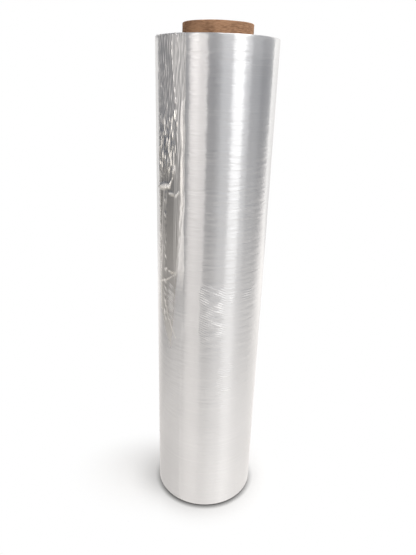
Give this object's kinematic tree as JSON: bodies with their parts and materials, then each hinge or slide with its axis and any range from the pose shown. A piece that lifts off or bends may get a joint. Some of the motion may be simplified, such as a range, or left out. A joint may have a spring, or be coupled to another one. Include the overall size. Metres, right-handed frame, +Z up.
{
  "type": "stretch wrap roll",
  "caption": "Hand roll of clear stretch wrap wound on a brown paper core that stands out on top, with the loosened end of the web lying on it in upright pleats.",
  "frame": {"origin": "centre of the foot, on the surface that the roll stands on", "axes": "+Z up along the core's axis towards the end where the core stands out, -Y towards the side seen in the picture, just past the web's free edge, +X to that side's right"},
  "size_m": [0.1131, 0.1124, 0.5118],
  "materials": {
    "kraft_board": "dull brown paper board",
    "clear_film": "glossy clear film, silvery where it is wound many turns deep"
  },
  "bodies": {
    "root": {"paper_core": "kraft_board", "film_roll": "clear_film"}
  },
  "joints": []
}
